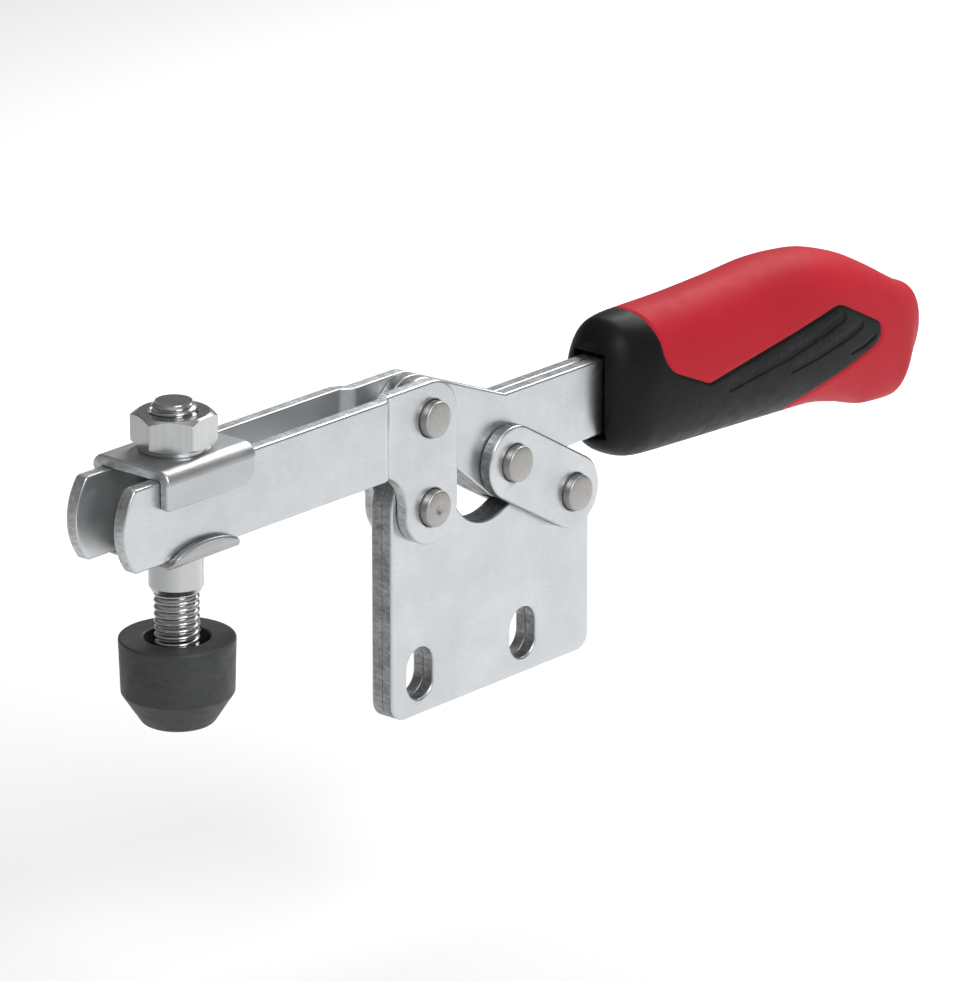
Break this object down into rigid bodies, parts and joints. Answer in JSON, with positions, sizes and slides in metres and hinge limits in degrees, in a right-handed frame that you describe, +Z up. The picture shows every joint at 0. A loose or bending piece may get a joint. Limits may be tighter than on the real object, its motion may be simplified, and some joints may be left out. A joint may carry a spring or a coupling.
{
  "type": "toggle clamp",
  "caption": "Horizontal toggle clamp with an upright slotted base, open arm, rubber-capped clamping screw and a two-component handle.",
  "frame": {"origin": "centre of the front base slot in the middle plane between the two base plates", "axes": "+X from the clamping screw towards the grip, +Y from the near side to the far side, +Z up"},
  "size_m": [0.2222, 0.0202, 0.073],
  "materials": {
    "zinc_plate": "zinc-plated sheet, satin",
    "nut_steel": "zinc-plated, semi-bright",
    "pin_steel": "bare turned steel, matt",
    "bush_bronze": "plain bearing bronze",
    "cap_rubber": "matt rubber",
    "red_plastic": "satin moulded plastic",
    "black_grip": "soft satin elastomer"
  },
  "bodies": {
    "base": {"base_plate_near": "zinc_plate", "base_plate_far": "zinc_plate", "main_bush": "bush_bronze", "link_bush": "bush_bronze"},
    "arm": {"arm_plate_near": "zinc_plate", "arm_plate_far": "zinc_plate", "main_pin": "pin_steel", "lever_pin": "pin_steel"},
    "lever": {"lever_plate_near": "zinc_plate", "lever_plate_far": "zinc_plate", "lever_bush": "bush_bronze", "grip_body": "red_plastic", "grip_sleeve": "black_grip"},
    "link": {"link_near": "zinc_plate", "link_far": "zinc_plate", "knee_pin": "pin_steel", "link_pin": "pin_steel"},
    "screw_carrier": {"saddle_washer": "zinc_plate", "hex_nut": "nut_steel", "flanged_washer": "zinc_plate", "threaded_collar": "zinc_plate"},
    "spindle": {"clamping_screw": "nut_steel", "rubber_cap": "cap_rubber"}
  },
  "joints": [
    {"name": "arm_pivot", "type": "hinge", "parent": "base", "child": "arm", "pos_m": [0.0005, 0, 0.0316], "axis": [0, 1, 0], "range_deg": [0, 90]},
    {"name": "lever_pivot", "type": "hinge", "parent": "arm", "child": "lever", "pos_m": [0.0005, 0, 0.0481], "axis": [0, 1, 0], "range_deg": [-149.13, 0]},
    {"name": "link_pivot", "type": "hinge", "parent": "base", "child": "link", "pos_m": [0.0393, 0, 0.0245], "axis": [0, 1, 0], "range_deg": [0, 62.76]},
    {"name": "screw_slide", "type": "slide", "parent": "arm", "child": "screw_carrier", "axis": [-1, 0, 0], "range_m": [-0.02, 0.006]},
    {"name": "screw_height", "type": "slide", "parent": "screw_carrier", "child": "spindle", "axis": [0, 0, 1], "range_m": [-0.004, 0.004]}
  ],
  "couplings": [
    {"joint": "lever_pivot", "follows": "arm_pivot", "ratio": -1.657},
    {"joint": "link_pivot", "follows": "arm_pivot", "ratio": 0.69734}
  ]
}
